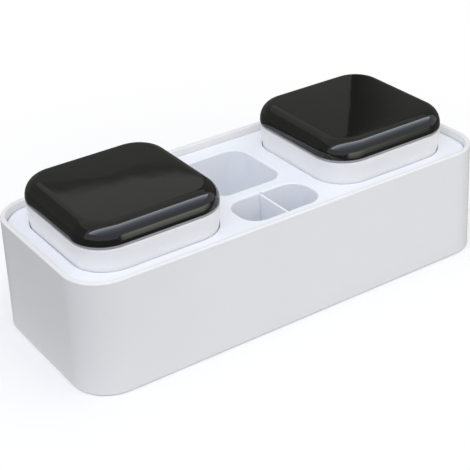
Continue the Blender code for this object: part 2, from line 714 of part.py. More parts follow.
def main():
    for old in list(bpy.data.objects):
        bpy.data.objects.remove(old, do_unlink=True)

    body_white = plastic("body_white", (0.9, 0.91, 0.93), 0.42)
    tray_white = plastic("tray_white", (0.91, 0.93, 0.96), 0.38)
    cup_white = plastic("cup_white", (0.92, 0.92, 0.94), 0.35)
    cap_black = plastic("cap_black", (0.16, 0.16, 0.15), 0.08, 1.0)
    seal_grey = plastic("seal_grey", (0.57, 0.57, 0.58), 0.6)
    liner_white = plastic("liner_white", (0.88, 0.88, 0.88), 0.45)
    plate_white = plastic("plate_white", (0.86, 0.87, 0.88), 0.4)
    tape_grey = plastic("tape_grey", (0.75, 0.76, 0.76), 0.9)
    screw_steel = metal("screw_steel", (0.62, 0.62, 0.61), 0.35)

    plate = build_wall_plate(plate_white)
    build_adhesive_pad(tape_grey, plate)
    shell = build_outer_shell(body_white, plate)
    tray = build_inner_tray(tray_white, shell)
    build_brush_divider(tray_white, tray)
    build_base_cover(body_white, shell)
    corners = ("front_left", "front_right", "back_left", "back_right")
    for corner, (x, y) in zip(corners, post_places()):
        build_base_screw(corner, x, y, screw_steel, shell)
    for side, x in (("left", -CUP_X), ("right", CUP_X)):
        cup = build_cup(side, x, cup_white, tray)
        cap = build_lid_cap(side, x, cap_black, cup)
        build_lid_liner(side, x, liner_white, cap)
        build_lid_seal(side, x, seal_grey, cap)


main()
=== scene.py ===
"""The looks of a wall toothbrush holder with two lidded tumblers.

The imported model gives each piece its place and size. The mouldings are modelled again
here with finer edges, and every piece gets its own finish.

Lengths are in metres. X runs along the body, +Y points to the wall and +Z is up.
"""

import json
import math
from contextlib import contextmanager

import bmesh
import bpy
from mathutils import Euler, Matrix, Vector


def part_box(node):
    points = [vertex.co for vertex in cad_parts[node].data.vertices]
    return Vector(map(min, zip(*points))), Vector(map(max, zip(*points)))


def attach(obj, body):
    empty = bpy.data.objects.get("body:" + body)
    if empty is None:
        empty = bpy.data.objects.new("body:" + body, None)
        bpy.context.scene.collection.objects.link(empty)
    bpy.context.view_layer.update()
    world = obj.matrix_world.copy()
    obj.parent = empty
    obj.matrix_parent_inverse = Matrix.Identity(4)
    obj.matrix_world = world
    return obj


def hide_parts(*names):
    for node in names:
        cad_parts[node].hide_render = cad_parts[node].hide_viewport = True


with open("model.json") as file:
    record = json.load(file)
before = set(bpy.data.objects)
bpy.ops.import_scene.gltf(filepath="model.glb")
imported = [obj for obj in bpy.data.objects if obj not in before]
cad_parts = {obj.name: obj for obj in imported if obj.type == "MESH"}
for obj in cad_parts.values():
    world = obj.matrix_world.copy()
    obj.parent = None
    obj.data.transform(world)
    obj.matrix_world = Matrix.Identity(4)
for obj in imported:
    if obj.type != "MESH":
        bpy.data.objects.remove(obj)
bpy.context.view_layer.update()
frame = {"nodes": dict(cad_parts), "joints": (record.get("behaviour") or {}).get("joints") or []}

# Facets on a quarter turn of a large corner, the recess's corners, a small edge, a fine edge,
# the seal's edge, a foot's edge, a screw's head and a lid's oval edge
CORNER_STEPS = 16
RECESS_STEPS = 8
EDGE_STEPS = 4
FINE_STEPS = 2
SEAL_STEPS = 3
FOOT_STEPS = 6
HEAD_STEPS = 6
DOME_STEPS = 14

# Facets all the way round a drilled hole, the floor and the studio's wall
HOLE_STEPS = 48
FLOOR_STEPS = 64
WALL_STEPS = 96

# How far a cutter runs past what it cuts, and how near counts as the same place
OVERRUN = 0.001
NEAR = 0.00005

# What counts as an edge that runs along an axis, a face that looks along one and an upright face,
# and the turns between two faces at which an edge is sharp and at which it is shaded smooth
RUNS_ALONG = 0.9
LOOKS_ALONG = 0.99
UPRIGHT = 0.5
SHARP_TURN = math.radians(45)
SMOOTH_TURN = math.radians(40)

# Clearances between seated pieces, round a cup in its well, beside the divider in its
# grooves, and round the wall plate
SEAT_GAP = 0.0003
WELL_GAP = 0.0004
GROOVE_GAP = 0.0001
RECESS_GAP = 0.0006

# Moulded body
RIM_CORNER = 0.0207
BODY_DRAFT = math.radians(0.9)
BODY_WALL = 0.003
RIM_ROUND = 0.0009
BASE_ROUND = 0.0003
LEDGE_WIDTH = 0.0015
LEDGE_HEIGHT = 0.0016
SEATED_CORNER = RIM_CORNER - BODY_WALL - SEAT_GAP
RECESS_WALL = 0.0024
RECESS_CORNER = 0.0066
PLATE_THICKNESS = 0.002
HOOK_WIDTH = 0.018
HOOK_THICKNESS = 0.004
HOOK_SPACING_SHARE = 0.6
HOOK_PLACE_SHARE = 0.55

# Sunk tray
PANEL_THICKNESS = 0.0025
TUB_WALL = 0.0016
TUB_FLOOR = 0.002
TUB_ROUND = 0.0025
MOUTH_ROUND = 0.0007
MOUTH_MARGIN = 4 * MOUTH_ROUND
POCKET_DRAFT = math.radians(1.0)
POCKET_WEB = 0.008
BRUSH_POCKET_WIDTH = 0.0478
BRUSH_POCKET_DEPTH = 0.0257
BRUSH_POCKET_CORNER = 0.0104
BRUSH_FRONT_LAND = 0.0119
PASTE_POCKET_WIDTH = 0.0429
PASTE_POCKET_CORNER = 0.0091
PASTE_BACK_LAND = 0.0144
REST_RIB_HEIGHT = 0.001
REST_RIB_WIDTH = 0.002
REST_RIB_CORNER = 0.0007
REST_RIB_ROUND = 0.0003
REST_RIB_INNER_SHARE = 0.4
REST_RIB_OUTER_SHARE = 0.86
WELL_DRAIN_DIAMETER = 0.008
POCKET_DRAIN_DIAMETER = 0.006
GROOVE_DEPTH = 0.0008
POST_DIAMETER = 0.0065

# Tumblers
CUP_CORNER = 0.019
CUP_DRAFT = math.radians(3.5)
CUP_WALL = 0.002
CUP_FLOOR = 0.0024
CUP_ROUND = 0.004
CUP_INNER_ROUND = 0.003
CUP_LIP_ROUND = 0.0007
FOOT_RING_WIDTH = 0.005
FOOT_RECESS = 0.0008

# Lids
CAP_SIDE = 0.0007
CAP_ROUND_WIDTH = 0.0081
CAP_WALL = 0.002
CAP_CROWN = 0.00025
CROWN_STEPS = 5
CAP_POST_DIAMETER = 0.005
CAP_POST_PLACE_SHARE = 0.55
SEAL_WIDTH = 0.002
SEAL_ROUND = 0.0004
LINER_THICKNESS = 0.0015
LINER_WALL = 0.0015
LINER_ROUND = 0.0003

# Bottom cover and its screws
COVER_THICKNESS = 0.0025
COVER_EDGE = 0.0003
BOSS_DIAMETER = 0.0074
SCREW_DIAMETER = 0.0029
SCREW_HEAD_DIAMETER = 0.0054
SCREW_HEAD_HEIGHT = 0.0017
SCREW_HEAD_ROUND = 0.6 * SCREW_HEAD_HEIGHT
SCREW_HEAD_SINK = 0.0004
SCREW_TIP = 0.0015
SCREW_TIP_SHARE = 0.2
THREAD_PITCH = 0.0011
THREAD_DEPTH = 0.0003
DRIVE_WIDTH = 0.0009
DRIVE_LENGTH = 0.0032
DRIVE_DEPTH = 0.001
DRIVE_FOOT_SHARE = 0.6

# One turn of the thread: each stretch's share of the pitch, and how far it steps out
THREAD_PROFILE = ((0.3, 0), (0.2, THREAD_DEPTH), (0.2, 0), (0.3, -THREAD_DEPTH))

# Plastics: colour, roughness and depth of the tool grain
BODY_WHITE = ((0.87, 0.862, 0.845), 0.4, 0.00001)
# The tray's white is lighter and bluer than the body's. Part of this is painted light: the cool
# light from above that its top faces, and the bright bounce inside its pockets.
TRAY_WHITE_AND_PAINTED_LIGHT = ((0.93, 0.945, 0.972), 0.36, 0.000006)
CUP_WHITE = ((0.903, 0.893, 0.888), 0.3, 0.000002)
LINER_WHITE = ((0.74, 0.74, 0.75), 0.42, 0.00001)
PLATE_WHITE = ((0.7, 0.72, 0.74), 0.4, 0.00001)

# What the plastics share: their grain, the shades that their flow left and their uneven sheen
PLASTIC_IOR = 1.46
GRAIN_SIZE = 0.0004
FLOW_SIZE = 0.06
FLOW_RAMP = (0.3, 0.7)
FLOW_SHADE = 0.98
MOTTLE_SIZE = 0.02
SHEEN_SPREAD = 0.03

# Bending of light in the lids' and the seals' skin
POLISH_IOR = 1.5

# The lids' black: tones, waves of the skin and haze
BLACK_DEEP = (0.009, 0.0086, 0.0078)
BLACK_PALE = (0.011, 0.0106, 0.0096)
BLACK_ROUGHNESS = 0.03
WAVE_SIZE = 0.014
WAVE_DEPTH = 0.000015
HAZE_SIZE = 0.004
HAZE_RAMP = (0.45, 0.75)
HAZE_ROUGHNESS = 0.02

# The seals' rubber: tones and bloom
RUBBER_DARK = (0.3, 0.3, 0.31)
RUBBER_PALE = (0.38, 0.38, 0.39)
RUBBER_ROUGHNESS = 0.6
BLOOM_SIZE = 0.0012
BLOOM_DEPTH = 0.00003
BLOOM_ROUGHNESS = 0.15

# The tape's foam: tones, cells and patches of sheen
FOAM_IOR = 1.4
FOAM_DARK = (0.36, 0.38, 0.38)
FOAM_PALE = (0.56, 0.58, 0.58)
FOAM_ROUGHNESS = 0.82
CELL_SIZE = 0.0009
CELL_DEPTH = 0.0002
CELL_STRENGTH = 0.6
CELL_RAMP = (0.05, 0.5)
PATCH_SIZE = 0.01
PATCH_ROUGHNESS = 0.1

# The screws' zinc: tones and mottling
ZINC_DARK = (0.36, 0.36, 0.34)
ZINC_PALE = (0.52, 0.52, 0.5)
ZINC_ROUGHNESS = 0.24
ZINC_GRAIN_SIZE = 0.0005
ZINC_GRAIN_DEPTH = 0.00001
ZINC_GRAIN_ROUGHNESS = 0.18

# Camera: its place, its turns and its lens, all fitted to the photograph
CAMERA_PLACE = Vector((-0.33952, -0.50773, 0.37465))
CAMERA_YAW = math.radians(-33.137)
CAMERA_PITCH = math.radians(-29.654)
CAMERA_ROLL = math.radians(-2.483)
CAMERA_LENS = 97.16

# Studio: the room's level, and the lamps' place, power, size and colour. A ray counts as seen
# where the sum of its flags is over a half.
ROOM_LEVEL = 0.67
SEEN_FROM = 0.5
TOP_PLACE = (0.0, -0.3, 1.2)
TOP_POWER = 8.9
TOP_SIZE = 2.5
TOP_COLOUR = (0.955, 0.98, 1.0)
LEFT_PLACE = (-0.8, -0.5, 1.2)
LEFT_POWER = 5.1
LEFT_SIZE = 1.2
LEFT_COLOUR = (0.6, 0.675, 1.0)

# Floor: white to the camera away from the object, and darker on the left to the light
FLOOR_DROP = 0.0003
FLOOR_RADIUS = 4.0
FLOOR_CLEAR_FROM = 0.12
FLOOR_CLEAR_TO = 0.32
FLOOR_TONE = (0.82, 0.82, 0.82)
FLOOR_DARK_TONE = (0.3, 0.3, 0.3)
FLOOR_DARK_FROM = -0.1
FLOOR_DARK_TO = -0.22
FLOOR_SEEN_TONE = (1.0, 0.99, 0.965)

# Reflectors that only glossy skins show. A wall stands round the floor: grey, with a paler
# upper part that sinks to the right over a shaded line, a dark stretch at the back right and
# a light front. A dark table top covers the floor, and a grey ceiling the back of the room.
# A card hangs above the object, brightest at its near edge, and a warm one stands in front.
WALL_RADIUS = 3.0
WALL_TOP = 3.0
WALL_GREY = (0.2, 0.2, 0.19)
WALL_SHADE = (0.13, 0.13, 0.12)
WALL_PALE = (0.39, 0.39, 0.365)
WALL_DARK = (0.03, 0.03, 0.026)
WALL_DARK_END = (0.16, 0.16, 0.15)
WALL_FRONT = (0.75, 0.78, 0.84)
WALL_SHADE_FROM = 1.54
WALL_SHADE_TO = 1.59
WALL_PALE_FROM = 1.595
WALL_PALE_TO = 1.645
WALL_PALE_MIDDLE = 1.33
WALL_PALE_SLOPE = 0.305
WALL_PALE_END = 1.68
WALL_DARK_SIDE = math.tan(math.radians(40.1))
WALL_DARK_WIDTH = 0.3
CEILING_GREY = (0.5, 0.5, 0.475)
CEILING_WHITE = (1.0, 1.0, 1.0)
CEILING_FRONT = -0.5
TABLE_COLOUR = (0.13, 0.13, 0.12)
CARD_LOW = (-2.8, -2.4, 1.58)
CARD_HIGH = (2.4, -0.42, 1.58)
CARD_COLOUR = (1.0, 1.1, 1.35)
CARD_EDGE_COLOUR = (6.5, 6.9, 7.8)
CARD_FALL = 4.0
STRIP_LOW = (-0.06, -0.226, 0.0)
STRIP_HIGH = (0.36, -0.226, 0.104)
STRIP_FOOT_COLOUR = (1.1, 1.1, 0.95)
STRIP_COLOUR = (2.8, 2.8, 2.5)
STRIP_LEFT_FADE = 0.06
STRIP_RIGHT_FADE = 0.34

shell_low, shell_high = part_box("outer_shell")
tray_low, tray_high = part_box("inner_tray")
cup_low, cup_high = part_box("left_cup")
plate_low, plate_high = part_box("wall_plate")
cover_low, cover_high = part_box("base_cover")

TRAY_TOP = tray_high.z
TUB_BOTTOM = tray_low.z
TUB_TOP = TUB_BOTTOM + TUB_FLOOR
CUP_X = -(cup_low.x + cup_high.x) / 2
CUP_Y = (cup_low.y + cup_high.y) / 2
CUP_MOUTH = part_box("left_lid_cap")[1].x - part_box("left_lid_cap")[0].x
RIM_LEAN = shell_high.z * math.tan(BODY_DRAFT)
RIM_FRONT_Y = shell_low.y + RIM_LEAN
LIFT = next(joint["range_m"][1] for joint in frame["joints"] if joint["name"] == "holder_lift")


def mouth_of_well(x):
    """A cup well's plan at the tray's top: its four sides."""
    half = CUP_MOUTH / 2 - (cup_high.z - TRAY_TOP) * math.tan(CUP_DRAFT) + WELL_GAP
    return (x - half, x + half, CUP_Y - half, CUP_Y + half)


def mouth_of_brush_pocket():
    """The brush pocket's plan at the tray's top."""
    half = BRUSH_POCKET_WIDTH / 2
    front = RIM_FRONT_Y + BRUSH_FRONT_LAND
    return (-half, half, front, front + BRUSH_POCKET_DEPTH)


def mouth_of_paste_pocket():
    """The toothpaste pocket's plan at the tray's top."""
    half = PASTE_POCKET_WIDTH / 2
    front = mouth_of_brush_pocket()[3] + POCKET_WEB
    return (-half, half, front, shell_high.y - PASTE_BACK_LAND)


# The four tubs: plan at the tray's top, corner and draft
TUBS = (
    (mouth_of_well(-CUP_X), CUP_CORNER + WELL_GAP, CUP_DRAFT),
    (mouth_of_well(CUP_X), CUP_CORNER + WELL_GAP, CUP_DRAFT),
    (mouth_of_brush_pocket(), BRUSH_POCKET_CORNER, POCKET_DRAFT),
    (mouth_of_paste_pocket(), PASTE_POCKET_CORNER, POCKET_DRAFT),
)


def drains():
    """Place and diameter of each drain, under the wells, the paste pocket and the brush slots."""
    left, right, front, back = mouth_of_brush_pocket()
    places = []
    for mouth, diameter in (
        (mouth_of_well(-CUP_X), WELL_DRAIN_DIAMETER),
        (mouth_of_well(CUP_X), WELL_DRAIN_DIAMETER),
        (mouth_of_paste_pocket(), WELL_DRAIN_DIAMETER),
        ((left, 0, front, back), POCKET_DRAIN_DIAMETER),
        ((0, right, front, back), POCKET_DRAIN_DIAMETER),
    ):
        places.append(((mouth[0] + mouth[1]) / 2, (mouth[2] + mouth[3]) / 2, diameter))
    return places


def post_places():
    """Centres of the four screws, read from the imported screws."""
    places = {}
    for corner in ("front_left", "front_right", "back_left", "back_right"):
        low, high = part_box("base_screw_" + corner)
        places[corner] = ((low.x + high.x) / 2, (low.y + high.y) / 2)
    return places


def select(*pieces):
    """Select these objects and nothing else, with the first one active."""
    bpy.ops.object.select_all(action="DESELECT")
    for piece in pieces:
        piece.select_set(True)
    bpy.context.view_layer.objects.active = pieces[0]


@contextmanager
def shaping(piece):
    """Open a piece's mesh with nothing selected in it, and close it again."""
    select(piece)
    bpy.ops.object.mode_set(mode="EDIT")
    bpy.ops.mesh.select_all(action="DESELECT")
    yield
    bpy.ops.object.mode_set(mode="OBJECT")


def pick(kind, rule):
    """Select the vertices, edges or faces that a rule picks, and nothing else."""
    bpy.ops.mesh.select_mode(type=kind)
    bpy.ops.mesh.select_all(action="DESELECT")
    data = bpy.context.edit_object.data
    mesh = bmesh.from_edit_mesh(data)
    mesh.normal_update()
    elements = {"VERT": mesh.verts, "EDGE": mesh.edges, "FACE": mesh.faces}[kind]
    for element in list(elements):
        if rule(element):
            element.select_set(True)
    mesh.select_flush_mode()
    bmesh.update_edit_mesh(data)


def corners_of(element):
    """The points of a vertex, an edge or a face."""
    if isinstance(element, bmesh.types.BMVert):
        return [element.co]
    return [vert.co for vert in element.verts]


def level_at(height):
    """A rule for what lies level at a height."""
    return lambda element: all(abs(point.z - height) < NEAR for point in corners_of(element))


def along(axis):
    """A rule for edges that run along an axis, 0 for X to 2 for Z, leaning or not."""
    def rule(edge):
        run = edge.verts[1].co - edge.verts[0].co
        return abs(run[axis]) > RUNS_ALONG * run.length
    return rule


def sharp(edge):
    """True for an edge between two faces that turn by more than the sharp turn."""
    return len(edge.link_faces) == 2 and edge.calc_face_angle() > SHARP_TURN


def facing(axis, sign):
    """A rule for faces that look along an axis."""
    return lambda face: face.normal[axis] * sign > LOOKS_ALONG


def flat(face):
    """True for a face that looks straight up or down."""
    return abs(face.normal.z) > LOOKS_ALONG


def round_edges(radius, steps=EDGE_STEPS):
    """Round the selected edges."""
    bpy.ops.mesh.bevel(offset=radius, segments=steps, profile=0.5, clamp_overlap=False)


def block(name, low, high):
    """A box between two corners, to be shaped further."""
    low = Vector(low)
    high = Vector(high)
    bpy.ops.object.select_all(action="DESELECT")
    bpy.ops.mesh.primitive_cube_add(size=1, location=(low + high) / 2, scale=high - low)
    piece = bpy.context.object
    piece.name = name
    bpy.ops.object.transform_apply(location=True, rotation=True, scale=True)
    return piece


def peg(name, x, y, diameter, foot, head):
    """A round bar that stands between two heights, as a post or a drill."""
    bpy.ops.object.select_all(action="DESELECT")
    bpy.ops.mesh.primitive_cylinder_add(
        vertices=HOLE_STEPS,
        radius=diameter / 2,
        depth=head - foot,
        location=(x, y, (foot + head) / 2),
    )
    piece = bpy.context.object
    piece.name = name
    bpy.ops.object.transform_apply(location=True, rotation=True, scale=True)
    return piece


def tub(name, mouth, level, draft, corner, foot, head, foot_round=0):
    """A rounded box whose sides draw in towards its foot. The mouth is its plan at a level."""
    slope = math.tan(draft)
    x0, x1, y0, y1 = mouth
    grow = (head - level) * slope
    drawn_in = (head - foot) * slope
    low = (x0 - grow, y0 - grow, foot)
    high = (x1 + grow, y1 + grow, head)
    piece = block(name, low, high)
    shrink = (1 - 2 * drawn_in / (high[0] - low[0]), 1 - 2 * drawn_in / (high[1] - low[1]), 1)
    middle = ((low[0] + high[0]) / 2, (low[1] + high[1]) / 2, foot)
    with shaping(piece):
        pick("VERT", level_at(foot))
        bpy.ops.transform.resize(value=shrink, center_override=middle)
        pick("EDGE", along(2))
        round_edges(corner, CORNER_STEPS)
        if foot_round:
            pick("EDGE", level_at(foot))
            round_edges(foot_round, FOOT_STEPS)
    return piece


def grown(mouth, by):
    """A plan with its four sides moved out."""
    return (mouth[0] - by, mouth[1] + by, mouth[2] - by, mouth[3] + by)


def join(pieces):
    """Several loose shapes as one object."""
    select(*pieces)
    bpy.ops.object.join()
    return bpy.context.object


def combine(piece, tools, operation):
    """Add tools to a piece, or cut them from it, and put them away."""
    tool = join(tools) if len(tools) > 1 else tools[0]
    step = piece.modifiers.new("combine", "BOOLEAN")
    step.operation = operation
    step.object = tool
    select(piece)
    bpy.ops.object.modifier_apply(modifier=step.name)
    bpy.data.objects.remove(tool)


def copied(piece, name, shift):
    """A copy of a piece with a mesh of its own, moved along."""
    twin = piece.copy()
    twin.data = piece.data.copy()
    twin.name = name
    twin.data.transform(Matrix.Translation(shift))
    bpy.context.scene.collection.objects.link(twin)
    return twin


def smooth(piece):
    """Shade a piece smooth over its rounded edges and flat over its faces."""
    select(piece)
    bpy.ops.object.shade_smooth_by_angle(angle=SMOOTH_TURN)
    step = piece.modifiers.new("even_normals", "WEIGHTED_NORMAL")
    step.keep_sharp = True
    bpy.ops.object.modifier_apply(modifier=step.name)


def dress(piece, finish, body, slot, *nodes):
    """Give a piece its finish and its body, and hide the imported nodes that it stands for."""
    smooth(piece)
    piece.data.name = piece.name
    piece.data.materials.clear()
    piece.data.materials.append(finish)
    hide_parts(*nodes)
    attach(piece, body)


def mould_body():
    """The body: a drafted wall with a soft rim, two ledges, and a hooked recess in its back."""
    depth = shell_high.y - shell_low.y
    body = block("moulded_body", shell_low, shell_high)
    with shaping(body):
        pick("VERT", level_at(shell_high.z))
        bpy.ops.transform.resize(
            value=(1 - RIM_LEAN / shell_high.x, 1 - RIM_LEAN / depth, 1),
            center_override=(0, shell_high.y, shell_high.z),
        )
        pick("EDGE", along(2))
        round_edges(RIM_CORNER, CORNER_STEPS)
        pick("FACE", flat)
        bpy.ops.mesh.inset(thickness=BODY_WALL)
        bpy.ops.mesh.bridge_edge_loops()
        upper = TRAY_TOP - PANEL_THICKNESS - SEAT_GAP
        lower = cover_low.z + COVER_THICKNESS + SEAT_GAP
        for bottom, top in ((upper - LEDGE_HEIGHT, upper), (lower, lower + LEDGE_HEIGHT)):
            for height in (bottom, top):
                pick("FACE", inside_wall)
                bpy.ops.mesh.bisect(plane_co=(0, 0, height), plane_no=(0, 0, 1))
            pick("FACE", lambda face: inside_wall(face) and between(face, bottom, top))
            bpy.ops.mesh.extrude_region_shrink_fatten(
                TRANSFORM_OT_shrink_fatten={"value": LEDGE_WIDTH, "use_even_offset": True}
            )
        pick("EDGE", level_at(shell_high.z))
        round_edges(RIM_ROUND)
        pick("EDGE", level_at(0))
        round_edges(BASE_ROUND)
    plate_front = plate_high.y - PLATE_THICKNESS
    floor = plate_front - SEAT_GAP
    low = Vector((plate_low.x - RECESS_GAP, floor, plate_low.z - RECESS_GAP - LIFT))
    high = Vector((plate_high.x + RECESS_GAP, shell_high.y, plate_high.z + RECESS_GAP))
    wall = Vector((RECESS_WALL, 0, RECESS_WALL))
    back_of_wall = Vector((0, RECESS_WALL, 0))
    backing_high = high + wall - Vector((0, BODY_WALL / 2, 0))
    backing = recess_block("recess_backing", low - wall - back_of_wall, backing_high, RECESS_WALL)
    combine(body, [backing], "UNION")
    cut = recess_block("recess_cut", low, high + Vector((0, OVERRUN, 0)), 0)
    combine(body, [cut], "DIFFERENCE")
    neck_top = plate_low.z + (plate_high.z - plate_low.z) * HOOK_PLACE_SHARE
    half = HOOK_WIDTH / 2 + RECESS_GAP
    windows = []
    for side in (-1, 1):
        x = side * plate_high.x * HOOK_SPACING_SHARE
        window_bottom = neck_top - HOOK_THICKNESS - LIFT - RECESS_GAP
        window_low = (x - half, floor - 2 * RECESS_WALL, window_bottom)
        window_high = (x + half, floor + OVERRUN, neck_top + SEAT_GAP)
        windows.append(block("hook_window", window_low, window_high))
    combine(body, windows, "DIFFERENCE")
    return body


def recess_block(name, low, high, grow):
    """A block with its four corners rounded about Y, for the recess and its backing."""
    piece = block(name, low, high)
    with shaping(piece):
        pick("EDGE", along(1))
        round_edges(RECESS_CORNER + grow, RECESS_STEPS)
    return piece


def inside_wall(face):
    """True for a face of the body's inner wall, which looks to the middle."""
    outward = face.calc_center_median().xy
    return abs(face.normal.z) < UPRIGHT and face.normal.xy.dot(outward) < 0


def between(face, bottom, top):
    """True for a face that lies between two heights."""
    return all(bottom - NEAR < point.z < top + NEAR for point in corners_of(face))


def mould_tray():
    """The tray: a panel with two cup wells and two pockets, their drains, ribs and grooves."""
    panel_bottom = TRAY_TOP - PANEL_THICKNESS
    tray = block("sunk_tray", (tray_low.x, tray_low.y, panel_bottom), tray_high)
    with shaping(tray):
        pick("EDGE", along(2))
        round_edges(SEATED_CORNER, CORNER_STEPS)
    inside_panel = TRAY_TOP - PANEL_THICKNESS / 2
    skins = []
    cavities = []
    for mouth, corner, draft in TUBS:
        outer = grown(mouth, TUB_WALL)
        outer_corner = corner + TUB_WALL
        skins.append(
            tub("skin", outer, TRAY_TOP, draft, outer_corner, TUB_BOTTOM, inside_panel, TUB_ROUND)
        )
        cavities.append(
            tub("cavity", mouth, TRAY_TOP, draft, corner, TUB_TOP, TRAY_TOP + OVERRUN, TUB_ROUND)
        )
    for x, y in post_places().values():
        skins.append(peg("post", x, y, POST_DIAMETER, cover_high.z + SEAT_GAP, inside_panel))
    combine(tray, skins, "UNION")
    combine(tray, cavities, "DIFFERENCE")

    def on_a_mouth(edge):
        return sharp(edge) and level_at(TRAY_TOP)(edge) and all(
            tray_low.x + MOUTH_MARGIN < point.x < tray_high.x - MOUTH_MARGIN
            and tray_low.y + MOUTH_MARGIN < point.y < tray_high.y - MOUTH_MARGIN
            for point in corners_of(edge)
        )

    with shaping(tray):
        pick("EDGE", on_a_mouth)
        round_edges(MOUTH_ROUND)

    combine(tray, rest_ribs(), "UNION")
    cuts = []
    for x, y, wide in drains():
        cuts.append(peg("drain", x, y, wide, TUB_BOTTOM - OVERRUN, TUB_TOP + OVERRUN))
    bore = SCREW_DIAMETER + 2 * SEAT_GAP
    screw_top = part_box("base_screw_front_left")[1].z
    for x, y in post_places().values():
        cuts.append(peg("pilot", x, y, bore, cover_high.z - OVERRUN, screw_top + OVERRUN))
    combine(tray, cuts, "DIFFERENCE")
    combine(tray, [divider_groove()], "DIFFERENCE")
    return tray


def rest_ribs():
    """Four low ribs on each well's floor, which hold the cup's foot clear of the drain."""
    mouth = mouth_of_well(0)
    reach = mouth[1] - (TRAY_TOP - TUB_TOP) * math.tan(CUP_DRAFT)
    side = REST_RIB_WIDTH / 2
    foot = TUB_TOP - TUB_FLOOR / 2
    head = TUB_TOP + REST_RIB_HEIGHT
    near = reach * REST_RIB_INNER_SHARE
    far = reach * REST_RIB_OUTER_SHARE
    ribs = []
    for x in (-CUP_X, CUP_X):
        for turn in range(4):
            rib = block("rest_rib", (near, -side, foot), (far, side, head))
            with shaping(rib):
                pick("EDGE", along(2))
                round_edges(REST_RIB_CORNER)
                pick("EDGE", level_at(head))
                round_edges(REST_RIB_ROUND, FINE_STEPS)
            place = Matrix.Translation((x, CUP_Y, 0)) @ Matrix.Rotation(math.pi / 2 * turn, 4, "Z")
            rib.data.transform(place)
            ribs.append(rib)
    return ribs


def divider_groove():
    """The cut that leaves a groove in the brush pocket's front and back walls."""
    low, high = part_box("brush_divider")
    mouth = grown(mouth_of_brush_pocket(), GROOVE_DEPTH)
    half = high.x + GROOVE_GAP
    slope = math.tan(POCKET_DRAFT)
    grow = OVERRUN * slope
    depth = mouth[3] - mouth[2] + 2 * grow
    cut = block(
        "groove",
        (-half, mouth[2] - grow, TUB_TOP),
        (half, mouth[3] + grow, TRAY_TOP + OVERRUN),
    )
    drawn_in = (TRAY_TOP + OVERRUN - TUB_TOP) * slope
    with shaping(cut):
        pick("VERT", level_at(TUB_TOP))
        bpy.ops.transform.resize(
            value=(1, 1 - 2 * drawn_in / depth, 1),
            center_override=(0, (mouth[2] + mouth[3]) / 2, TUB_TOP),
        )
    return cut


def mould_cover():
    """The bottom cover, with sunk screw holes, bosses and drains."""
    cover = block("bottom_cover", cover_low, (cover_high.x, cover_high.y, COVER_THICKNESS))
    with shaping(cover):
        pick("EDGE", along(2))
        round_edges(SEATED_CORNER, CORNER_STEPS)
        pick("EDGE", sharp)
        round_edges(COVER_EDGE, FINE_STEPS)
    bosses = []
    cuts = []
    seat = SCREW_HEAD_SINK + SCREW_HEAD_HEIGHT + SEAT_GAP
    for x, y in post_places().values():
        bosses.append(peg("boss", x, y, BOSS_DIAMETER, COVER_THICKNESS / 2, cover_high.z))
        wide = peg("counterbore", x, y, SCREW_HEAD_DIAMETER + 2 * SEAT_GAP, -OVERRUN, seat)
        with shaping(wide):
            pick("FACE", facing(2, 1))
            bpy.ops.mesh.inset(thickness=(SCREW_HEAD_DIAMETER - SCREW_DIAMETER) / 2)
            bpy.ops.mesh.extrude_region_move(
                TRANSFORM_OT_translate={"value": (0, 0, cover_high.z + OVERRUN - seat)}
            )
        cuts.append(wide)
    for x, y, wide in drains():
        cuts.append(peg("drain", x, y, wide + 2 * WELL_GAP, -OVERRUN, COVER_THICKNESS + OVERRUN))
    combine(cover, bosses, "UNION")
    combine(cover, cuts, "DIFFERENCE")
    return cover


def mould_cup():
    """A tumbler: drafted square walls, a foot ring, a rounded floor and a rounded lip."""
    half = CUP_MOUTH / 2
    mouth = (-CUP_X - half, -CUP_X + half, CUP_Y - half, CUP_Y + half)
    foot = cup_low.z
    lip = cup_high.z
    floor = foot + FOOT_RECESS + CUP_FLOOR
    cup = tub("left_tumbler", mouth, lip, CUP_DRAFT, CUP_CORNER, foot, lip, CUP_ROUND)
    with shaping(cup):
        pick("FACE", level_at(foot))
        bpy.ops.mesh.inset(thickness=FOOT_RING_WIDTH)
        bpy.ops.mesh.inset(thickness=FOOT_RECESS, depth=-FOOT_RECESS)
        pick("FACE", level_at(lip))
        bpy.ops.mesh.inset(thickness=CUP_WALL)
        bpy.ops.mesh.extrude_region_move(TRANSFORM_OT_translate={"value": (0, 0, floor - lip)})
        drawn_in = (lip - floor) * math.tan(CUP_DRAFT)
        shrink = 1 - drawn_in / (half - CUP_WALL)
        bpy.ops.transform.resize(value=(shrink, shrink, 1), center_override=(-CUP_X, CUP_Y, floor))
        pick("EDGE", level_at(floor))
        round_edges(CUP_INNER_ROUND, FOOT_STEPS)
        pick("EDGE", level_at(lip))
        round_edges(CUP_LIP_ROUND)
    return cup


